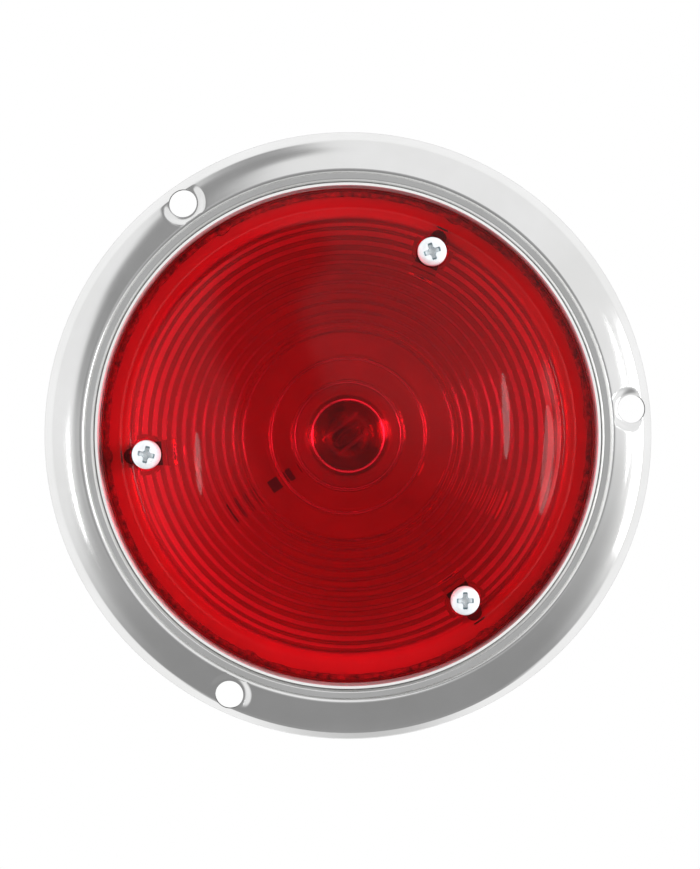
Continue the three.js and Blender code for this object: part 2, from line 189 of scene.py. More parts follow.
def azimuths_with_detail(steps, centres, reach, fine):
    """Azimuths round the axis, finer within reach degrees of each centre."""
    near = [
        (centre + reach * (2 * i / fine - 1)) % 360
        for centre in centres for i in range(fine + 1)
    ]
    apart = reach + 180 / steps

    def is_far(azimuth):
        return all(abs((azimuth - centre + 180) % 360 - 180) > apart for centre in centres)

    far = [360 * i / steps for i in range(steps) if is_far(360 * i / steps)]
    return [math.radians(azimuth) for azimuth in sorted(near + far)]


def made(name, mesh_data):
    """A new object in the scene from a bmesh, with its faces pointing out."""
    bmesh.ops.recalc_face_normals(mesh_data, faces=mesh_data.faces)
    mesh = bpy.data.meshes.new(name)
    mesh_data.to_mesh(mesh)
    mesh_data.free()
    piece = bpy.data.objects.new(name, mesh)
    bpy.context.collection.objects.link(piece)
    return piece


def turned(name, outline, azimuths=None):
    """An outline turned round the lamp's axis. Points at radius 0 become one shared point."""
    azimuths = azimuths or even_azimuths(96)
    data = bmesh.new()
    loops = []
    for radius, height in outline:
        if radius < 1e-6:
            loops.append([data.verts.new(place(0, 0, height))] * len(azimuths))
        else:
            loops.append([data.verts.new(place(radius, azimuth, height)) for azimuth in azimuths])
    for i, loop in enumerate(loops):
        following = loops[(i + 1) % len(loops)]
        if loop[0] is loop[1] and following[0] is following[1]:
            continue
        for k in range(len(azimuths)):
            m = (k + 1) % len(azimuths)
            corners = [loop[k], loop[m], following[m], following[k]]
            face = [c for n, c in enumerate(corners) if c is not corners[n - 1]]
            data.faces.new(face)
    return made(name, data)


def plate(name, outline, back, front):
    """A flat outline of (x, z) points in mm, with its thickness between two heights."""
    data = bmesh.new()
    rows = [
        [data.verts.new(Vector((x, -height, z)) * MM) for x, z in outline]
        for height in (back, front)
    ]
    for i in range(len(outline)):
        k = (i + 1) % len(outline)
        data.faces.new([rows[0][i], rows[0][k], rows[1][k], rows[1][i]])
    for row in rows:
        data.faces.new(row)
    return made(name, data)


def swept(name, path, radius, sides=10):
    """A round wire along a path of points in mm (x, height, z), with closed ends."""
    points = [Vector((x, -height, z)) * MM for x, height, z in path]
    data = bmesh.new()
    rings = []
    side = None
    for i, point in enumerate(points):
        along = (points[min(i + 1, len(points) - 1)] - points[max(i - 1, 0)]).normalized()
        if side is None:
            side = along.orthogonal().normalized()
        side = (side - along * side.dot(along)).normalized()
        other = along.cross(side)
        rings.append([
            data.verts.new(point + (side * math.cos(a) + other * math.sin(a)) * radius * MM)
            for a in even_azimuths(sides)
        ])
    for ring, following in zip(rings, rings[1:]):
        for k in range(sides):
            m = (k + 1) % sides
            data.faces.new([ring[k], ring[m], following[m], following[k]])
    data.faces.new(rings[0])
    data.faces.new(rings[-1])
    return made(name, data)


def cylinder(radius, back, front, sides=96):
    """A plain cylinder on the lamp's axis, to join or to cut with."""
    outline = [(0, back), (radius, back), (radius, front), (0, front)]
    return turned("cylinder", outline, even_azimuths(sides))


def moved(piece, azimuth=0, radius=0):
    """Moves a piece out along +X by a radius in mm, then round the axis by degrees."""
    turn = Matrix.Rotation(-math.radians(azimuth), 4, "Y")
    piece.data.transform(turn @ Matrix.Translation((radius * MM, 0, 0)))
    return piece


def spoke(name, radius, start, end, height, sides=32):
    """A round bar that points away from the axis along +X, between two radii."""
    return swept(name, [(start, height, 0), (end, height, 0)], radius, sides)


def combined(piece, others, operation):
    """Joins, cuts or intersects a piece with others, which are used up."""
    for other in others:
        step = piece.modifiers.new("boolean", "BOOLEAN")
        step.operation = operation
        step.solver = "EXACT"
        step.object = other
    graph = bpy.context.evaluated_depsgraph_get()
    result = bpy.data.meshes.new_from_object(piece.evaluated_get(graph))
    piece.modifiers.clear()
    piece.data = result
    for other in others:
        bpy.data.objects.remove(other)
    return piece


def cut(piece, *tools):
    return combined(piece, tools, "DIFFERENCE")


def joined(piece, *others):
    return combined(piece, others, "UNION")


def bevelled(piece, width, segments=2, angle=40):
    """Eases the sharp edges of a piece, by a width in mm."""
    step = piece.modifiers.new("bevel", "BEVEL")
    step.width = width * MM
    step.segments = segments
    step.limit_method = "ANGLE"
    step.angle_limit = math.radians(angle)
    return combined(piece, [], "UNION")


def finished(piece, look, slot, body, *nodes, sharp=32):
    """Shades a piece, gives it its material, hangs it on the empty of the body it rides on, and
    hides the CAD nodes that it stands for.
    """
    piece.data.polygons.foreach_set("use_smooth", [True] * len(piece.data.polygons))
    piece.data.set_sharp_from_angle(angle=math.radians(sharp))
    piece.data.materials.clear()
    piece.data.materials.append(look)
    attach(piece, body)
    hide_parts(*nodes)
    return piece


# ---- Materials ----


class Nodes:
    """Adds nodes to a tree, which is a material's or the world's."""

    def node(self, kind, **settings):
        node = self.tree.nodes.new(kind)
        for key, value in settings.items():
            setattr(node, key, value)
        return node

    def link(self, output, target):
        self.tree.links.new(output, target)

    def math(self, operation, *values):
        node = self.node("ShaderNodeMath", operation=operation)
        for socket, value in zip(node.inputs, values):
            if isinstance(value, (int, float)):
                socket.default_value = value
            else:
                self.link(value, socket)
        return node.outputs[0]

    def times(self, value, factor):
        return self.math("MULTIPLY", value, factor)


class Look(Nodes):
    """A material under construction: its node tree, its shader and its object coordinates."""

    def __init__(self, name):
        self.material = bpy.data.materials.new(name)
        self.material.use_nodes = True
        self.tree = self.material.node_tree
        self.shader = self.tree.nodes["Principled BSDF"]
        self.place = self.node("ShaderNodeTexCoord").outputs["Object"]

    def set(self, **values):
        """Sets values on the shader's own sockets, named with underscores for spaces."""
        for key, value in values.items():
            self.shader.inputs[key.replace("_", " ")].default_value = value

    def noise(self, scale, detail=4, roughness=0.55, vector=None):
        node = self.node("ShaderNodeTexNoise")
        node.inputs["Scale"].default_value = scale
        node.inputs["Detail"].default_value = detail
        node.inputs["Roughness"].default_value = roughness
        self.link(vector or self.place, node.inputs["Vector"])
        return node.outputs["Fac"]

    def radius(self):
        """The distance from the lamp's axis."""
        parts = self.node("ShaderNodeSeparateXYZ")
        self.link(self.place, parts.inputs[0])
        x2 = self.times(parts.outputs["X"], parts.outputs["X"])
        z2 = self.times(parts.outputs["Z"], parts.outputs["Z"])
        return self.math("SQRT", self.math("ADD", x2, z2))

    def rings(self, scale):
        """Fine uneven lines round the lamp's axis, as a lathe or a polishing wheel leaves."""
        row = self.node("ShaderNodeCombineXYZ")
        self.link(self.radius(), row.inputs["X"])
        return self.noise(scale, detail=3, vector=row.outputs[0])

    def ramp(self, factor, low, high, start=0.3, end=0.7):
        """A value that goes from low to high as a factor goes from start to end."""
        node = self.node("ShaderNodeMapRange")
        node.inputs["From Min"].default_value = start
        node.inputs["From Max"].default_value = end
        node.inputs["To Min"].default_value = low
        node.inputs["To Max"].default_value = high
        self.link(factor, node.inputs["Value"])
        return node.outputs["Result"]

    def colours(self, factor, dark, light, start=0.35, end=0.65):
        node = self.node("ShaderNodeValToRGB")
        node.color_ramp.elements[0].position = start
        node.color_ramp.elements[0].color = (*dark, 1)
        node.color_ramp.elements[1].position = end
        node.color_ramp.elements[1].color = (*light, 1)
        self.link(factor, node.inputs["Fac"])
        self.link(node.outputs["Color"], self.shader.inputs["Base Color"])

    def bump(self, height, strength, distance=0.0002):
        node = self.node("ShaderNodeBump")
        node.inputs["Strength"].default_value = strength
        node.inputs["Distance"].default_value = distance
        self.link(height, node.inputs["Height"])
        self.link(node.outputs["Normal"], self.shader.inputs["Normal"])


def polished_steel():
    look = Look("polished_steel")
    look.set(Metallic=1.0)
    smudge = look.noise(45, detail=5)
    look.colours(smudge, (0.74, 0.74, 0.735), (0.80, 0.80, 0.80))
    lines = look.rings(5200)
    rough = look.math("ADD", look.ramp(smudge, 0.09, 0.15), look.ramp(lines, 0.0, 0.05))
    look.link(rough, look.shader.inputs["Roughness"])
    look.bump(lines, 0.035, 0.00004)
    return look.material


def plated_steel(name, dark, light, rough, metallic=1.0):
    look = Look(name)
    look.set(Metallic=metallic)
    stain = look.noise(70, detail=6, roughness=0.65)
    look.colours(stain, dark, light)
    look.link(look.ramp(stain, rough + 0.1, rough - 0.05), look.shader.inputs["Roughness"])
    look.bump(look.noise(900, detail=5), 0.12, 0.00008)
    return look.material


def cup_steel():
    """Plated sheet with painted shade: darker towards the floor inside, on the shelf's front face
    under the lens rim and round the bend into the wall. It is also a darker tone outside behind the
    panel, so brightest on the collar.
    """
    look = Look("cup_steel")
    look.set(Metallic=0.6)
    parts = look.node("ShaderNodeSeparateXYZ")
    look.link(look.place, parts.inputs[0])
    depth = parts.outputs["Y"]
    radius = look.radius()
    stain = look.noise(70, detail=6, roughness=0.65)

    # The wall's line, the floor's and the shelf's run inside the sheet, between its two faces.
    wall_at_panel = 49.46 * MM
    wall_taper = 0.069
    floor_depth = 41.3 * MM
    shelf_depth = -2.3 * MM
    shelf_edge = 56.8 * MM
    panel_depth = 0.5 * MM
    bend_radius = 49.05 * MM
    bend_reach = 0.45 * MM

    wall = look.math("SUBTRACT", wall_at_panel, look.times(depth, wall_taper))
    inside = look.times(look.math("LESS_THAN", radius, wall),
                        look.math("LESS_THAN", depth, floor_depth))
    outside = look.times(look.math("SUBTRACT", 1.0, inside),
                         look.math("GREATER_THAN", depth, panel_depth))
    shelf = look.times(look.math("LESS_THAN", radius, shelf_edge),
                       look.math("LESS_THAN", depth, shelf_depth))
    bend = look.times(look.math("COMPARE", radius, bend_radius, bend_reach),
                      look.math("LESS_THAN", depth, panel_depth))
    # Painted shade: the inside darkens with depth towards the floor, and the shelf's front face and
    # the bend at the cup's mouth are darkened; the outside behind the panel gets a plain darker
    # tone.
    painted_shade_and_outer_tone = look.times(inside, look.ramp(depth, 0.0, 0.72, 4 * MM, 38 * MM))
    for zone, amount in ((shelf, 0.5), (bend, 0.6), (outside, 0.35)):
        painted_shade_and_outer_tone = look.math("MAXIMUM", painted_shade_and_outer_tone, look.times(zone, amount))
    bright = look.math("SUBTRACT", look.ramp(stain, 0.86, 1.0), painted_shade_and_outer_tone)
    look.colours(bright, (0.20, 0.20, 0.195), (0.90, 0.90, 0.89), 0, 1)
    look.link(look.ramp(stain, 0.46, 0.31), look.shader.inputs["Roughness"])
    look.bump(look.noise(900, detail=5), 0.12, 0.00008)
    return look.material


def zinc_plate():
    """Bright zinc, with painted shade that darkens the walls of the cross recess. The generated
    coordinates run from 0 to 1 across a screw and from its head to its tip."""
    recess_reach = 0.35
    walls_middle = 0.028
    walls_reach = 0.016
    look = Look("zinc_plate")
    look.set(Metallic=0.3)
    parts = look.node("ShaderNodeSeparateXYZ")
    look.link(look.node("ShaderNodeTexCoord").outputs["Generated"], parts.inputs[0])
    x = look.math("SUBTRACT", parts.outputs["X"], 0.5)
    z = look.math("SUBTRACT", parts.outputs["Z"], 0.5)
    across = look.math("ADD", look.times(x, x), look.times(z, z))
    # Painted shade: within the recess's reach, a band at the depth of the recess walls is darkened.
    recess_shade = look.times(look.math("LESS_THAN", across, recess_reach ** 2),
                       look.math("COMPARE", parts.outputs["Y"], walls_middle, walls_reach))
    stain = look.ramp(look.noise(500, detail=6, roughness=0.65), 0.82, 1.0)
    stained_and_shaded = look.math("SUBTRACT", stain, look.times(recess_shade, 0.7))
    look.colours(stained_and_shaded, (0.02, 0.10, 0.13), (0.84, 0.87, 0.89), 0, 1)
    look.link(look.ramp(stain, 0.40, 0.24, 0.82, 1.0), look.shader.inputs["Roughness"])
    look.bump(look.noise(2400, detail=5), 0.12, 0.00008)
    return look.material


def red_plastic():
    look = Look("red_lens")
    look.set(
        Base_Color=(0.88, 0.007, 0.022, 1), Transmission_Weight=1.0, IOR=1.49,
        Specular_Tint=(0.3, 0.3, 0.3, 1),
    )
    look.link(look.ramp(look.noise(260, detail=6), 0.015, 0.05), look.shader.inputs["Roughness"])
    look.bump(look.noise(60, detail=2), 0.06, 0.0003)
    return look.material


def clear_glass():
    look = Look("bulb_glass")
    look.set(Base_Color=(0.93, 0.95, 0.95, 1), Transmission_Weight=1.0, IOR=1.5)
    look.link(look.ramp(look.noise(150, detail=4), 0.06, 0.13), look.shader.inputs["Roughness"])
    look.bump(look.noise(40, detail=2), 0.05, 0.0003)
    return look.material


def rubber(name, dark, light, scale, strength):
    look = Look(name)
    grain = look.noise(scale, detail=8, roughness=0.7)
    look.colours(grain, dark, light)
    look.link(look.ramp(grain, 0.62, 0.88), look.shader.inputs["Roughness"])
    look.bump(grain, strength, 0.0004)
    return look.material


def foam():
    look = Look("mounting_gasket")
    cells = look.node("ShaderNodeTexVoronoi")
    cells.inputs["Scale"].default_value = 1500
    look.link(look.place, cells.inputs["Vector"])
    look.colours(look.noise(300, detail=6), (0.035, 0.034, 0.033), (0.085, 0.082, 0.08))
    look.set(Roughness=0.92)
    look.bump(cells.outputs["Distance"], 0.6, 0.0003)
    return look.material


def board():
    """Brown paper-filled insulating board: fine specks and short fibres."""
    look = Look("phenolic")
    stretch = look.node("ShaderNodeMapping")
    stretch.inputs["Scale"].default_value = (1, 1, 6)
    look.link(look.place, stretch.inputs["Vector"])
    fibres = look.noise(500, detail=7, roughness=0.7, vector=stretch.outputs[0])
    look.colours(fibres, (0.11, 0.045, 0.022), (0.27, 0.125, 0.06))
    look.link(look.ramp(fibres, 0.5, 0.68), look.shader.inputs["Roughness"])
    look.bump(fibres, 0.2)
    return look.material


def black_glass():
    look = Look("black_glass")
    swirl = look.noise(400, detail=5)
    look.colours(swirl, (0.012, 0.012, 0.014), (0.05, 0.05, 0.055))
    look.link(look.ramp(swirl, 0.12, 0.3), look.shader.inputs["Roughness"])
    look.bump(swirl, 0.1)
    return look.material


POLISHED = polished_steel()
PLATED = plated_steel("plated_steel", (0.76, 0.76, 0.75), (0.84, 0.84, 0.83), 0.36, metallic=0.6)
DARK_STEEL = plated_steel("dark_steel", (0.03, 0.026, 0.024), (0.07, 0.06, 0.055), 0.45)
SOCKET_STEEL = plated_steel("socket_steel", (0.50, 0.50, 0.49), (0.66, 0.66, 0.65), 0.30)
ZINC = zinc_plate()
SPRING = plated_steel("spring_steel", (0.36, 0.36, 0.36), (0.52, 0.52, 0.52), 0.30)
TUNGSTEN = plated_steel("tungsten", (0.20, 0.20, 0.21), (0.34, 0.34, 0.35), 0.35)
SOLDER = plated_steel("solder", (0.50, 0.50, 0.48), (0.64, 0.64, 0.62), 0.42)
BRASS = plated_steel("brass", (0.55, 0.39, 0.17), (0.74, 0.57, 0.29), 0.28)
BULB_BRASS = plated_steel("bulb_brass", (0.56, 0.44, 0.23), (0.72, 0.58, 0.33), 0.26)
RED = red_plastic()
GLASS = clear_glass()
CUP_STEEL = cup_steel()
GREY_RUBBER = rubber("grey_rubber", (0.02, 0.018, 0.017), (0.30, 0.27, 0.25), 700, 0.8)
BLACK_RUBBER = rubber("black_rubber", (0.02, 0.018, 0.017), (0.06, 0.055, 0.05), 900, 0.5)
FOAM = foam()
BOARD = board()
BLACK_GLASS = black_glass()

# ---- Mounting gasket and flange ----


def mount_holes(radius):
    return [
        moved(cylinder(radius, -5, 15), azimuth, MOUNT_CIRCLE)
        for azimuth in MOUNT_AZIMUTHS
    ]


def mounting_gasket():
    inner = 53.0
    outer = 69.4
    outline = band(inner, outer, 0, GASKET_FRONT, 0.35)
    ring = turned("mounting_gasket_foam", outline, even_azimuths(180))
    cut(ring, *mount_holes(MOUNT_HOLE + 0.2))
    finished(ring, FOAM, "mounting_gasket", "housing", "mounting_gasket")


FLANGE_CREST = 60.8

# The middle of the flange's sheet, from its outer edge to the foot of its inner leg.
FLANGE_LINE = rounded([
    (FLANGE_RADIUS - SHEET / 2, FLANGE_BACK),
    (67.5, 4.75, 1.2),
    (64.3, 6.25, 16),
    (60.6, 6.95, 0.6),
    (60.1, 6.2, 0.4),
    (58.3, 6.15, 0.5),
    (58.3, 3.4),
], 8)


def flange_height(radius):
    """The height of the middle of the flange's sheet on its sloping face."""
    for (outer, low), (inner, high) in zip(FLANGE_LINE, FLANGE_LINE[1:]):
        if inner <= radius <= outer:
            return low + (high - low) * (outer - radius) / max(outer - inner, 1e-6)
    return FLANGE_LINE[0][1]


def flange_ring():
    """The stamped ring, with a shallow dimple pressed into its face round each hole. A dimple
    slopes less than the face, so it is deepest on its inner side and runs out at the lip."""
    middle_height = 5.2
    slope = 0.18
    flat_radius = 3.4
    blend = 2.0
    longest_step = 0.3
    azimuths = azimuths_with_detail(300, MOUNT_AZIMUTHS, 7, 56)
    dense = []
    for start, end in zip(FLANGE_LINE, FLANGE_LINE[1:]):
        pieces = max(1, math.ceil(math.dist(start, end) / longest_step))
        dense += [tuple(Vector(start).lerp(Vector(end), i / pieces)) for i in range(pieces)]
    ring = turned("flange_polished_ring", sheet(dense + [FLANGE_LINE[-1]]), azimuths)
    holes = [place(MOUNT_CIRCLE, math.radians(azimuth), 0) for azimuth in MOUNT_AZIMUTHS]
    for vertex in ring.data.vertices:
        across = Vector((vertex.co.x, 0, vertex.co.z))
        apart = min((across - hole).length for hole in holes) / MM
        share = min(max((flat_radius + blend - apart) / blend, 0), 1)
        radius = across.length / MM
        dimple = middle_height + slope * (MOUNT_CIRCLE - radius)
        drop = flange_height(radius) - dimple
        if share > 0 and drop > 0 and radius > FLANGE_CREST:
            vertex.co.y += drop * share * share * (3 - 2 * share) * MM
    cut(ring, *mount_holes(MOUNT_HOLE))
    finished(ring, POLISHED, "polished_steel", "housing", "flange_ring", sharp=40)


# ---- Cup, lens gasket, screw tabs ----

GROUND_AZIMUTH = 330
GROUND_CIRCLE = 30.0
GROUND_HOLE = 1.8
VENT_AZIMUTH = 208.6
VENT_INNER = 15.4
VENT_OUTER = 21.6
VENT_HALF_WIDTH = 1.5
WEEP_AZIMUTH = 270
WEEP_RADIUS = 1.6
WEEP_HEIGHT = -33
SOCKET_HOLE = 8.8


def housing_cup():
    """The drawn cup, with a hole for the ground rivet, a vent slot and a weep hole."""
    line = rounded([
        (COLLAR_MIDDLE, COLLAR_TOP),
        (COLLAR_MIDDLE, SHELF_MIDDLE, 1),
        (CUP_RADIUS, SHELF_MIDDLE, 1.2),
        (CUP_REAR_RADIUS, REAR_WALL, 5),
        (SOCKET_HOLE, REAR_WALL),
    ], 8)
    cup = turned("housing_cup_drawn", sheet(line), even_azimuths(240))
    behind = REAR_WALL - 8
    before = REAR_WALL + 6
    slot = plate("slot", [
        (VENT_INNER, -VENT_HALF_WIDTH), (VENT_OUTER, -VENT_HALF_WIDTH),
        (VENT_OUTER, VENT_HALF_WIDTH), (VENT_INNER, VENT_HALF_WIDTH),
    ], behind, before)
    weep = spoke("weep", WEEP_RADIUS, CUP_REAR_RADIUS - 4, CUP_RADIUS + 4, WEEP_HEIGHT)
    cut(
        cup,
        moved(cylinder(GROUND_HOLE, behind, before), GROUND_AZIMUTH, GROUND_CIRCLE),
        moved(slot, VENT_AZIMUTH),
        moved(weep, WEEP_AZIMUTH),
    )
    finished(cup, CUP_STEEL, "plated_steel", "housing", "housing_cup", sharp=40)


def lens_gasket():
    """A round cord of foam rubber, pressed a little uneven, with a lump at each of its joints."""
    back = SHELF_TOP + GAP
    front = LENS_RIM_BACK - GAP
    lumps = (58.5, 116, 299, 0, 240.6, 179.5)
    lump_reach = 1.7
    inner = 54.4
    outer = 55.8
    middle = (inner + outer) / 2
    ring = turned("lens_gasket_cord", band(inner, outer, back, front, 0.6), even_azimuths(720))
    for vertex in ring.data.vertices:
        azimuth = math.degrees(math.atan2(vertex.co.z, vertex.co.x)) % 360
        apart = min(abs((azimuth - lump + 180) % 360 - 180) for lump in lumps)
        swell = 0.5 * max(0, 1 - (apart / lump_reach) ** 4)
        ripple = 0.16 * noise.noise(vertex.co * 900) + 0.1 * noise.noise(vertex.co * 300)
        radius = math.hypot(vertex.co.x, vertex.co.z)
        side = -1 if radius < middle * MM else 0.3
        scale = 1 + side * (swell + ripple) * MM / radius
        vertex.co.x *= scale
        vertex.co.z *= scale
    finished(ring, GREY_RUBBER, "grey_rubber", "housing", "lens_gasket")


def screw_tab(number, azimuth):
    """A clip on the shelf, tapped for a lens screw: square inside, with a round-ended tongue."""
    back = SHELF_TOP + GAP
    thickness = 1.2
    inner_end = 41.5
    shoulder = 48.2
    half_width = 2.7
    tongue_middle = 49.4
    tongue_radius = 1.8
    tip = [math.radians(-90 + 180 * i / 16) for i in range(17)]
    outline = [(inner_end, half_width), (inner_end, -half_width), (shoulder, -half_width)]
    outline += [
        (tongue_middle + tongue_radius * math.cos(a), tongue_radius * math.sin(a)) for a in tip
    ]
    outline += [(shoulder, half_width)]
    tab = bevelled(plate(f"screw_tab_steel_{number}", outline, back, back + thickness), 0.2)
    joined(tab, moved(cylinder(2.5, back - 1.6, back + 0.6), 0, SCREW_CIRCLE))
    cut(tab, moved(cylinder(SCREW_HOLE, -5, 9), 0, SCREW_CIRCLE))
    moved(tab, azimuth)
    finished(tab, DARK_STEEL, "dark_steel", "housing", f"screw_tab_{number}")


# ---- Lens and its screws ----

# The inner face is a ring lens: each zone (outer radius in mm, curvature per mm) is a slice of a
# shallow dome that ends flush with the wall. Outside the zones come rounded ribs.
ZONES = ((7.8, 0.0125), (12.6, 0.005), (16.2, 0.0013), (17.9, 0.0015), (21.7, 0.0012))
ZONE_RISE = 0.4
BEADS = ((12.1, 0.33), (17.3, 0.33))
BEAD_REACH = 0.5
INNER_EDGE = 48.3
RIBS_START = 22.85
RIB_COUNT = 11
RIB_PITCH = 2.23
RIB_DEPTH = 0.5
OUTWARD_FADE = 0.45


def relief(radius):
    """How far the zones, the beads between them and the ribs stand out of the inner face."""
    bead = 0
    for middle, height in BEADS:
        share = max(0, 1 - abs(radius - middle) / BEAD_REACH)
        bead += height * (1 - math.cos(math.pi * share)) / 2
    inner = -ZONE_RISE
    for outer, curvature in ZONES:
        if radius < outer:
            rise = min(1, (radius - inner) / ZONE_RISE)
            return rise * curvature * (outer ** 2 - radius ** 2) + bead
        inner = outer
    phase = (radius - RIBS_START) / RIB_PITCH
    if 0 <= phase <= RIB_COUNT:
        depth = RIB_DEPTH * (1 - OUTWARD_FADE * phase / RIB_COUNT)
        return depth * (1 - math.cos(2 * math.pi * phase)) / 2
    return 0


def lens_outline():
    """The dome's front, the step and rim round it, and its inner face with zones and ribs."""
    front = arc_line(DOME_TOP, DOME_RADIUS, DOME_EDGE, 40)
    rim = rounded([
        (LENS_STEP_RADIUS - 0.5, DOME_EDGE - 0.25, 0.15),
        (LENS_STEP_RADIUS, LENS_RIM_FRONT, 0.25),
        (LENS_RADIUS, LENS_RIM_FRONT, 0.45),
        (LENS_RADIUS, LENS_RIM_BACK, 0.3),
        (INNER_EDGE, LENS_RIM_BACK),
    ], 4)
    inner_top = DOME_TOP - DOME_WALL
    drop = inner_top - LENS_RIM_BACK
    inner_sphere = (INNER_EDGE ** 2 + drop ** 2) / (2 * drop)
    steps = 330
    radii = [INNER_EDGE * i / steps for i in range(steps)]
    inside = [
        (r, inner_top - inner_sphere + math.sqrt(inner_sphere ** 2 - r ** 2) - relief(r))
        for r in radii
    ]
    return front + rim + inside[::-1]


def lens():
    """The dome with a boss and a key at each screw. Both end halfway through the dome's wall, so
    that they leave its front face whole, and a pocket is then sunk through each."""
    shell = turned("lens_red_dome", lens_outline(), even_azimuths(256))
    half_wall = 1.2
    key_half_width = 2.9
    key_inner = 40.6
    key_outer = 50.0
    key_sides = [
        (key_inner, key_half_width), (key_inner, -key_half_width),
        (key_outer, -key_half_width), (key_outer, key_half_width),
    ]
    inside_wall = arc_line(DOME_TOP - half_wall, DOME_RADIUS, DOME_EDGE - half_wall, 24)
    limit = [*inside_wall, (LENS_STEP_RADIUS, 6.8), (LENS_STEP_RADIUS, 4.0), (0, 4.0)]
    clear = DOME_TOP + 1
    pocket = [
        (0, POCKET_FLOOR), (POCKET_RADIUS, POCKET_FLOOR), (POCKET_RADIUS + 0.2, clear), (0, clear),
    ]
    added = []
    pockets = []
    for azimuth in SCREW_AZIMUTHS:
        key = moved(plate("key", key_sides, KEY_BACK, DOME_TOP), azimuth)
        boss = moved(cylinder(BOSS_RADIUS, BOSS_BACK, DOME_TOP, 72), azimuth, SCREW_CIRCLE)
        for part in (key, boss):
            within = turned("within", limit, even_azimuths(180))
            added.append(combined(part, [within], "INTERSECT"))
        pockets += [
            moved(turned("pocket", pocket, even_azimuths(50)), azimuth, SCREW_CIRCLE),
            moved(cylinder(SCREW_HOLE, 0, clear, 50), azimuth, SCREW_CIRCLE),
        ]
    joined(shell, *added)
    cut(shell, *pockets)
    finished(shell, RED, "red_lens", "lens", "lens", sharp=28)
    shell.visible_shadow = False


def screw_washer(number, azimuth):
    back = POCKET_FLOOR + GAP
    outline = band(SCREW_HOLE, 3.2, back, back + 0.6, 0.25)
    ring = turned(f"screw_washer_rubber_{number}", outline)
    finished(
        moved(ring, azimuth, SCREW_CIRCLE), BLACK_RUBBER, "black_rubber",
        f"screw_seat_{number}", f"screw_washer_{number}",
    )


def threaded(name, radius, depth, pitch, top, bottom):
    """A screw's shank, with a helical thread between two heights and a plain blunt tip."""
    sides = 32
    rows = int((top - bottom) / pitch * 8)
    data = bmesh.new()
    rings = []
    for row in range(rows + 1):
        height = top + (bottom - top) * row / rows
        run_out = min(1, row / 4, (rows - row) / 8)
        ring = []
        for azimuth in even_azimuths(sides):
            phase = (height / pitch + azimuth / (2 * math.pi)) % 1
            groove = depth * (1 - abs(2 * phase - 1)) * run_out
            tip = 0.5 * max(0, 1 - (rows - row) / 6)
            ring.append(data.verts.new(place(radius - groove - tip, azimuth, height)))
        rings.append(ring)
    for ring, following in zip(rings, rings[1:]):
        for k in range(sides):
            m = (k + 1) % sides
            data.faces.new([ring[k], ring[m], following[m], following[k]])
    data.faces.new(rings[0])
    data.faces.new(rings[-1])
    return made(name, data)


def cross_recess(top, turn):
    """The tapered cross that a driver fits, as a solid to cut away, turned by degrees."""
    rim_reach = 2.15
    rim_half_width = 0.58
    floor_reach = 0.9
    floor_half_width = 0.319
    floor = top - 1.5
    rim = top + 0.1
    arms = []
    for quarter in (0, 90):
        data = bmesh.new()
        rims = []
        for reach, half, height in (
            (floor_reach, floor_half_width, floor), (rim_reach, rim_half_width, rim),
        ):
            rims.append([
                data.verts.new(Vector((x * reach, -height, z * half)) * MM)
                for x, z in ((-1, -1), (1, -1), (1, 1), (-1, 1))
            ])
        for k in range(4):
            m = (k + 1) % 4
            data.faces.new([rims[0][k], rims[0][m], rims[1][m], rims[1][k]])
        for corners in rims:
            data.faces.new(corners)
        arms.append(bevelled(moved(made("arm", data), quarter + turn), 0.18))
    core = turned("core", [(0, top - 1.6), (0.8, top - 0.7), (1.05, rim), (0, rim)])
    return joined(arms[0], arms[1], core)


def lens_screw(number, azimuth, turn):
    """A pan-head screw with a thread below its head, stopped at its own angle."""
    back = SCREW_TOP - HEAD_HEIGHT
    head = turned(f"lens_screw_zinc_{number}", rounded([
        (0, SCREW_TOP), (2.2, SCREW_TOP - 0.02, 1.2), (HEAD_RADIUS, SCREW_TOP - 0.6, 0.7),
        (HEAD_RADIUS, back, 0.15), (0, back),
    ], 8), even_azimuths(72))
    cut(head, cross_recess(SCREW_TOP, turn))
    shank = threaded("shank", SHANK_RADIUS, 0.32, 0.794, back + 0.2, back - SCREW_LENGTH)
    joined(head, shank)
    moved(head, azimuth, SCREW_CIRCLE)
    finished(head, ZINC, "zinc_plate", f"screw_{number}", f"lens_screw_{number}", sharp=35)


# ---- Socket ----

PINS = ((81, -31.5), (261, -34.5))
PIN_RADIUS = 1.0
SOCKET_BORE = 7.9
SOCKET_RADIUS = 8.5
SOCKET_FLANGE = 10.2
SOCKET_FRONT = node_top("socket_shell")
SOCKET_BACK = node_back("socket_shell")
PUSH_TRAVEL = 2.5
BULB_TURN = 18
CONTACT_OFFSET = 3.1
CONTACT_AZIMUTHS = (0, 180)
DISC_RADIUS = 7.5
DISC_FRONT = node_top("contact_disc")
DISC_BACK = node_back("contact_disc")
REAR_DISC_FRONT = node_top("rear_insulator")
REAR_DISC_BACK = node_back("rear_insulator")


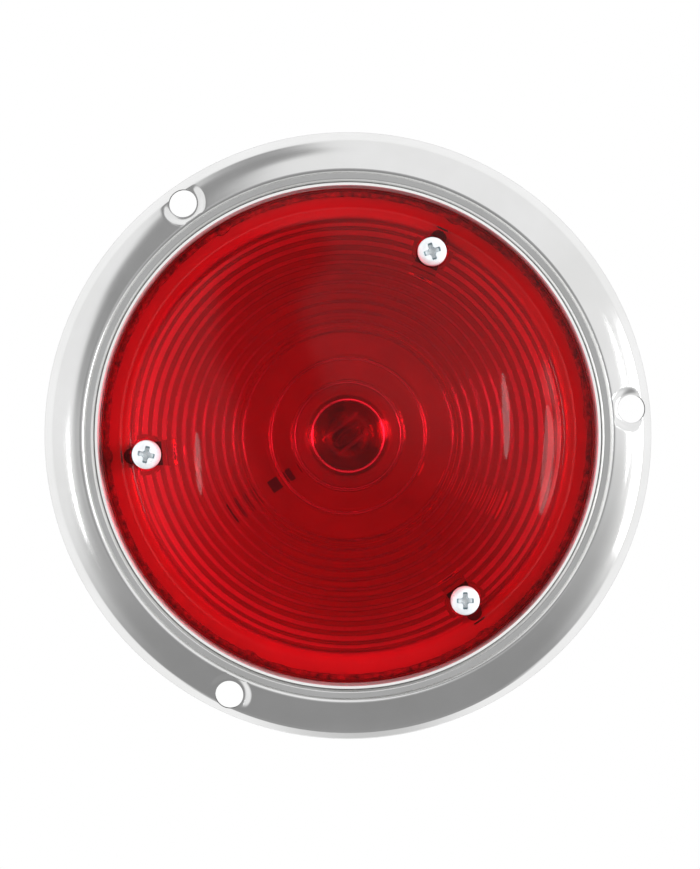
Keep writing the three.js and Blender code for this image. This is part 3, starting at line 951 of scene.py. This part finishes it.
def socket_shell():
    """The steel tube, held to the rear wall by a flange on each side of it. Each pin has a window
    that it turns in, and a slot from the mouth that leads to the window's far end."""
    wall_front = REAR_WALL + SHEET / 2 + GAP
    wall_back = REAR_WALL - SHEET / 2 - GAP
    back_hole = 6.6
    outline = rounded([
        (SOCKET_BORE, SOCKET_FRONT, 0.2),
        (SOCKET_BORE, SOCKET_BACK + SHEET),
        (back_hole, SOCKET_BACK + SHEET, 0.25),
        (back_hole, SOCKET_BACK, 0.25),
        (SOCKET_RADIUS, SOCKET_BACK, 0.7),
        (SOCKET_RADIUS, wall_back - SHEET, 0.1),
        (SOCKET_FLANGE, wall_back - SHEET, 0.38),
        (SOCKET_FLANGE, wall_back, 0.38),
        (SOCKET_RADIUS, wall_back),
        (SOCKET_RADIUS, wall_front),
        (SOCKET_FLANGE, wall_front, 0.38),
        (SOCKET_FLANGE, wall_front + SHEET, 0.38),
        (SOCKET_RADIUS, wall_front + SHEET, 0.1),
        (SOCKET_RADIUS, SOCKET_FRONT, 0.2),
    ], 4)
    shell = turned("socket_shell_tube", outline)
    half_slot = PIN_RADIUS + 0.35
    half_window = half_slot + 1.5
    inner, outer = 6, 11
    tools = []
    for azimuth, height in PINS:
        front = height + half_slot
        back = height - PUSH_TRAVEL - half_slot
        for name, half, top, turn in (
            ("window", half_window, front, BULB_TURN / 2),
            ("way_in", half_slot, SOCKET_FRONT + 1, BULB_TURN),
        ):
            sides = [(inner, -half), (outer, -half), (outer, half), (inner, half)]
            tools.append(moved(plate(name, sides, back, top), azimuth + turn))
    cut(shell, *tools)
    finished(shell, SOCKET_STEEL, "socket_steel", "housing", "socket_shell", sharp=40)


def pierced_disc(name, node, body, hole_radius, back, front):
    disc = turned(name, rounded([
        (0, back), (DISC_RADIUS, back, 0.2), (DISC_RADIUS, front, 0.2), (0, front),
    ], 3))
    holes = [
        moved(cylinder(hole_radius, back - 1, front + 1, 32), azimuth, CONTACT_OFFSET)
        for azimuth in CONTACT_AZIMUTHS
    ]
    cut(disc, *holes)
    finished(disc, BOARD, "phenolic", body, node)


def contact_rivet(number, azimuth):
    node = f"contact_rivet_{number}"
    front = node_top(node)
    back = node_back(node)
    rivet = turned(f"contact_rivet_brass_{number}", rounded([
        (0, front), (1.7, front - 0.05, 0.45), (1.7, front - 0.8, 0.1), (1.0, front - 0.8),
        (1.0, back, 0.25), (0, back),
    ], 5), even_azimuths(40))
    finished(moved(rivet, azimuth, CONTACT_OFFSET), BRASS, "brass", "contact_plate", node)


def contact_spring():
    """The coil under the contact disc, with its end turns closed up flat."""
    turns = 3.5
    steps = 200
    coil_radius = 5.9
    wire_radius = 0.45
    front = DISC_BACK - GAP - wire_radius
    back = REAR_DISC_FRONT + GAP + wire_radius
    path = []
    for i in range(steps + 1):
        share = i / steps
        ease = share * share * (3 - 2 * share)
        azimuth = 2 * math.pi * turns * share
        height = front + (back - front) * (0.35 * share + 0.65 * ease)
        path.append((coil_radius * math.cos(azimuth), height, coil_radius * math.sin(azimuth)))
    spring = swept("contact_spring_coil", path, wire_radius, 12)
    finished(spring, SPRING, "spring_steel", "housing", "contact_spring")
    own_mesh(spring)


def wire_grommet():
    """The rubber plug in the back of the socket, with an empty bore for each lead."""
    front = node_top("wire_grommet")
    back = node_back("wire_grommet")
    flange = SOCKET_BACK - GAP
    plug = turned("wire_grommet_plug", rounded([
        (0, front), (6.2, front, 0.2), (6.2, flange), (7.8, flange, 0.3), (7.8, flange - 1.5, 0.6),
        (5.6, flange - 2.3, 0.4), (4.7, back, 0.5), (0, back),
    ], 5))
    lead_radius = 1.1
    lead_offset = 2.6
    bores = [
        moved(cylinder(lead_radius, back - 5, front + 5, 28), azimuth, lead_offset)
        for azimuth in CONTACT_AZIMUTHS
    ]
    cut(plug, *bores)
    finished(plug, BLACK_RUBBER, "black_rubber", "housing", "wire_grommet")


# ---- Bulb ----

BULB_TIP = node_top("bulb_glass")
NECK_END = node_back("bulb_glass")
GLOBE = node_radius("bulb_glass")
NECK = 6.6
GLASS_WALL = 0.8
CAP_BORE = 7.1
CAP_RADIUS = 7.6
CAP_GROOVE = 7.35
PIN_REACH = 8.7
FILAMENT_AZIMUTH = 32.6
STEM_TOP = -14.0


def bulb_glass():
    """A thin globe that narrows to a straight neck, as an outer skin and an inner one."""
    centre = BULB_TIP - GLOBE
    shoulder = -17.2

    def skin(inset):
        globe = GLOBE - inset
        neck = NECK - inset
        waist = math.pi - math.asin(neck / globe) - 0.18
        arc = [
            (globe * math.sin(waist * i / 40), centre + globe * math.cos(waist * i / 40))
            for i in range(41)
        ]
        return arc + rounded([arc[-1], (neck, shoulder, 2.5), (neck, NECK_END)], 8)[1:]

    glass = turned("bulb_glass_globe", skin(0) + skin(GLASS_WALL)[::-1])
    finished(glass, GLASS, "bulb_glass", "bulb", "bulb_glass", sharp=50)
    glass.visible_shadow = False


def bulb_base():
    """The brass cap: a tube with a groove near its mouth and two pins at different heights."""
    front = node_top("bulb_base")
    back = node_back("bulb_base")
    cap = turned("bulb_base_cap", rounded([
        (CAP_BORE, front, 0.15),
        (CAP_BORE, back, 0.15),
        (CAP_RADIUS - 0.1, back, 0.2),
        (CAP_RADIUS, back + 1.2),
        (CAP_RADIUS, front - 2.2, 0.2),
        (CAP_GROOVE, front - 1.7, 0.2),
        (CAP_RADIUS, front - 1.2, 0.2),
        (CAP_RADIUS, front, 0.2),
    ], 4))
    pins = []
    for azimuth, height in PINS:
        pin = turned("pin", rounded([
            (0, PIN_REACH), (PIN_RADIUS, PIN_REACH, 0.4), (PIN_RADIUS, CAP_GROOVE), (0, CAP_GROOVE),
        ], 5), even_azimuths(32))
        pin.data.transform(Matrix.Rotation(math.radians(90), 4, "Z"))
        pin.data.transform(Matrix.Translation((0, -height * MM, 0)))
        pins.append(moved(pin, azimuth))
    joined(cap, *pins)
    finished(cap, BULB_BRASS, "bulb_brass", "bulb", "bulb_base", sharp=40)


def bulb_stem():
    """The glass foot inside the neck, pressed flat at its top where the wires come out."""
    stem = turned("bulb_stem_glass", rounded([
        (0, -26.6), (5.2, -26.6, 0.2), (5.2, -25.9, 0.2), (2.6, -24, 1.5), (2.4, STEM_TOP, 0.8),
        (0, STEM_TOP),
    ], 6), even_azimuths(48))
    for vertex in stem.data.vertices:
        share = min(max((-vertex.co.y / MM + 20) / 5, 0), 1)
        vertex.co.z *= 1 - 0.55 * share
    moved(stem, FILAMENT_AZIMUTH)
    finished(stem, GLASS, "bulb_glass", "bulb", "bulb_stem")
    stem.visible_shadow = False


def filament(name, node, half, offset, height):
    """Two support wires and the coiled filament between their hooks."""
    foot = STEM_TOP + 0.35
    support_radius = 0.22
    coil_radius = 0.3
    thread_radius = 0.13
    wires = []
    for side in (-1, 1):
        path = rounded([
            (side * 1.2, foot), (side * 1.6, foot + 2, 0.8), (side * half, height - 1.5, 0.8),
            (side * half, height), (side * (half - 0.5), height + 0.1),
        ], 5)
        wires.append(swept("wire", [(x, h, offset) for x, h in path], support_radius))
    coil = []
    turns = 16
    for i in range(turns * 12 + 1):
        share = i / (turns * 12)
        azimuth = 2 * math.pi * turns * share
        sag = 0.35 * math.sin(math.pi * share)
        coil.append((
            (2 * share - 1) * (half - 0.2), height + coil_radius * math.sin(azimuth) - sag,
            offset + coil_radius * math.cos(azimuth),
        ))
    thread = swept(name, coil, thread_radius, 6)
    data = bmesh.new()
    for part in (thread, *wires):
        data.from_mesh(part.data)
    for part in wires:
        bpy.data.objects.remove(part)
    data.to_mesh(thread.data)
    data.free()
    moved(thread, FILAMENT_AZIMUTH)
    finished(thread, TUNGSTEN, "tungsten", "bulb", node)


def bulb_insulator():
    back = node_back("bulb_insulator")
    front = node_top("bulb_insulator")
    disc = turned("bulb_insulator_glass", rounded([
        (0, back), (5.6, back, 0.5), (6.7, back + 0.7, 0.2), (6.7, front, 0.2), (0, front),
    ], 5))
    finished(disc, BLACK_GLASS, "black_glass", "bulb", "bulb_insulator")


def bulb_contact(number, azimuth):
    """A blob of solder on the end of the bulb, a little uneven."""
    node = f"bulb_contact_{number}"
    front = node_top(node)
    back = node_back(node)
    blob = turned(f"bulb_contact_solder_{number}", rounded([
        (0, front), (1.7, front, 0.1), (1.65, front - 0.35, 0.3), (1.0, back + 0.05, 0.5), (0, back),
    ], 6), even_azimuths(40))
    for vertex in blob.data.vertices:
        vertex.co += noise.noise_vector(vertex.co * 900 + Vector((number, 0, 0))) * 0.05 * MM
    finished(moved(blob, azimuth, CONTACT_OFFSET), SOLDER, "solder", "bulb", node)


# ---- Ground connection ----


def ground_rivet():
    front = REAR_WALL + SHEET / 2 + GAP
    back = REAR_WALL - SHEET / 2 - GAP - SHEET - GAP
    rivet = turned("ground_rivet_steel", rounded([
        (0, front + 1.2), (2.8, front + 1.15, 0.95), (2.8, front), (1.5, front),
        (1.5, back), (2.6, back), (2.6, back - 1.15, 0.9), (1.0, back - 1.2, 0.1), (0.9, back - 0.6),
        (0, back - 0.6),
    ], 8), even_azimuths(48))
    moved(rivet, GROUND_AZIMUTH, GROUND_CIRCLE)
    finished(rivet, PLATED, "plated_steel", "housing", "ground_rivet")


def ground_terminal():
    """A ring terminal with an empty crimp barrel."""
    front = REAR_WALL - SHEET / 2 - GAP
    back = front - SHEET
    eye_radius = 3.6
    barrel_radius = 2.0
    barrel_height = front - barrel_radius
    neck = [(7, -barrel_radius), (7, barrel_radius)]
    eye = [
        (eye_radius * math.cos(a), eye_radius * math.sin(a))
        for a in [math.radians(34 + 292 * i / 30) for i in range(31)]
    ]
    terminal = plate("ground_terminal_brass", eye + neck, back, front)
    bevelled(terminal, 0.15)
    joined(terminal, spoke("barrel", barrel_radius, 6.5, 12, barrel_height, 40))
    hole = cylinder(GROUND_HOLE, back - 5, front + 5, 36)
    cut(terminal, hole, spoke("bore", 1.3, 7.6, 13, barrel_height, 40))
    moved(terminal, GROUND_AZIMUTH, GROUND_CIRCLE)
    finished(terminal, BRASS, "brass", "housing", "ground_terminal", sharp=35)


# ---- Assembly ----

SCREW_TURNS = (43, -17, -35)

mounting_gasket()
flange_ring()
housing_cup()
lens_gasket()
lens()
for number, (azimuth, turn) in enumerate(zip(SCREW_AZIMUTHS, SCREW_TURNS), 1):
    screw_tab(number, azimuth)
    screw_washer(number, azimuth)
    lens_screw(number, azimuth, turn)
socket_shell()
pierced_disc(
    "contact_disc_board", "contact_disc", "contact_plate",
    hole_radius=1.3, back=DISC_BACK, front=DISC_FRONT,
)
pierced_disc(
    "rear_insulator_board", "rear_insulator", "housing",
    hole_radius=1.4, back=REAR_DISC_BACK, front=REAR_DISC_FRONT,
)
contact_spring()
wire_grommet()
bulb_glass()
bulb_base()
bulb_stem()
filament("stop_filament_coil", "stop_filament", half=3.6, offset=2.2, height=-2)
filament("tail_filament_coil", "tail_filament", half=3.0, offset=-1.6, height=-5)
bulb_insulator()
for number, azimuth in enumerate(CONTACT_AZIMUTHS, 1):
    contact_rivet(number, azimuth)
    bulb_contact(number, azimuth)
ground_rivet()
ground_terminal()

# ---- Floor, light and camera ----


def floor():
    look = Look("floor")
    look.colours(look.noise(12, detail=5), (0.80, 0.80, 0.80), (0.84, 0.84, 0.84))
    look.set(Roughness=0.9)
    radius = 300
    thickness = 2
    level = -150
    disc = turned("floor", rounded([
        (0, -thickness), (radius, -thickness, 0.8), (radius, 0, 0.8), (0, 0),
    ], 3))
    disc.data.transform(Matrix.Rotation(math.radians(90), 4, "X"))
    disc.data.transform(Matrix.Translation((0, 0, level * MM)))
    disc.data.materials.append(look.material)
    disc.visible_glossy = False


class Sky(Nodes):
    """The studio round the lamp: white to the camera, with dark cards that the metal mirrors."""

    def __init__(self):
        world = bpy.data.worlds.new("studio")
        bpy.context.scene.world = world
        world.use_nodes = True
        self.tree = world.node_tree
        self.background = self.tree.nodes["Background"]
        self.way = self.node("ShaderNodeTexCoord").outputs["Generated"]
        self.level = 1.0

    def card(self, azimuth, polar, inner, outer, level):
        """Darkens or lights a round patch: at an azimuth seen from the front, polar degrees off
        the camera's line, full within the inner angle and gone at the outer one."""
        turn, tilt = math.radians(azimuth), math.radians(polar)
        dot = self.node("ShaderNodeVectorMath", operation="DOT_PRODUCT")
        self.link(self.way, dot.inputs[0])
        dot.inputs[1].default_value = (
            math.sin(tilt) * math.cos(turn), -math.cos(tilt), math.sin(tilt) * math.sin(turn),
        )
        share = self.node("ShaderNodeMapRange", interpolation_type="SMOOTHSTEP")
        share.inputs["From Min"].default_value = math.cos(math.radians(outer))
        share.inputs["From Max"].default_value = math.cos(math.radians(inner))
        self.link(dot.outputs["Value"], share.inputs["Value"])
        difference = self.math("SUBTRACT", level, self.level)
        step = self.times(difference, share.outputs["Result"])
        self.level = self.math("ADD", self.level, step)

    def finish(self):
        """White to the camera, and brighter than the cards' level to light that enters the lens."""
        path = self.node("ShaderNodeLightPath")
        lens_gain = 0.55
        entering = self.times(path.outputs["Is Transmission Ray"], lens_gain)
        level = self.times(self.level, self.math("ADD", 1.0, entering))
        rest = self.math("SUBTRACT", 1.0, level)
        shown = self.math("ADD", level, self.times(rest, path.outputs["Is Camera Ray"]))
        self.link(shown, self.background.inputs["Color"])


def sky():
    """A pale tent, darker below and round the camera, with a dark cloth that hangs in an arc at
    the upper left, one bright patch low on the right, and no light behind the lamp."""
    studio = Sky()
    studio.card(0, 180, 95, 115, 1.1)
    studio.card(264, 45, 28, 56, 0.33)
    studio.card(268, 90, 27, 40, 0.36)
    for azimuth, polar, reach in (
        (103, 50, 5), (116, 44, 6), (127, 33, 7), (140, 22, 7), (160, 17, 6), (186, 15, 6),
    ):
        studio.card(azimuth, polar, reach, reach + 8, 0.34)
    for azimuth in (8, -6, -20):
        studio.card(azimuth, 60, 3, 9, 4.0)
    studio.card(0, 0, 8, 14, 0.5)
    studio.card(0, 180, 20, 40, 0.05)
    studio.finish()


ROLL = math.radians(5.4)
VIEW_UP = Vector((math.sin(ROLL), 0, math.cos(ROLL)))


def aimed(name, data, position, target):
    """An object at a position that looks at a target, upright in the camera's view."""
    thing = bpy.data.objects.new(name, data)
    bpy.context.collection.objects.link(thing)
    back = (Vector(position) - Vector(target)).normalized()
    right = VIEW_UP.cross(back).normalized()
    turn = Matrix((right, back.cross(right), back)).transposed().to_4x4()
    thing.matrix_world = Matrix.Translation(position) @ turn
    return thing


def area_light(name, position, width, height, power):
    light = bpy.data.lights.new(name, "AREA")
    light.shape = "ELLIPSE"
    light.size = width
    light.size_y = height
    light.energy = power
    return aimed(name, light, position, (0, 0, 0))


def lamps():
    """Narrow lights that stand upright in the lens's reflection, and two broad ones, far out to
    the sides, that light the wall of the cup and not its floor."""
    area_light("strip_left", (-0.666, -0.79, -0.06), 0.030, 0.28, 0.15)
    area_light("strip_right", (0.69, -0.763, 0.02), 0.034, 0.38, 0.26)
    area_light("panel_right", (0.87, -0.65, -0.19), 0.06, 0.5, 0.35)
    for name, side, power in (("broad_left", -1, 6.5), ("broad_right", 1, 9.5)):
        broad = area_light(name, (0.91 * side, -0.41, 0.08), 0.3, 0.5, power)
        broad.visible_glossy = False


def camera():
    """A long lens square on to the lamp, rolled so that the lamp stands turned a little."""
    data = bpy.data.cameras.new("camera")
    data.lens = 135
    data.sensor_width = 36
    position = Vector((0.0005, -0.750, 0.0002))
    bpy.context.scene.camera = aimed("camera", data, position, position + Vector((0, 1, 0)))


floor()
sky()
lamps()
camera()
bpy.context.scene.view_settings.view_transform = "Standard"
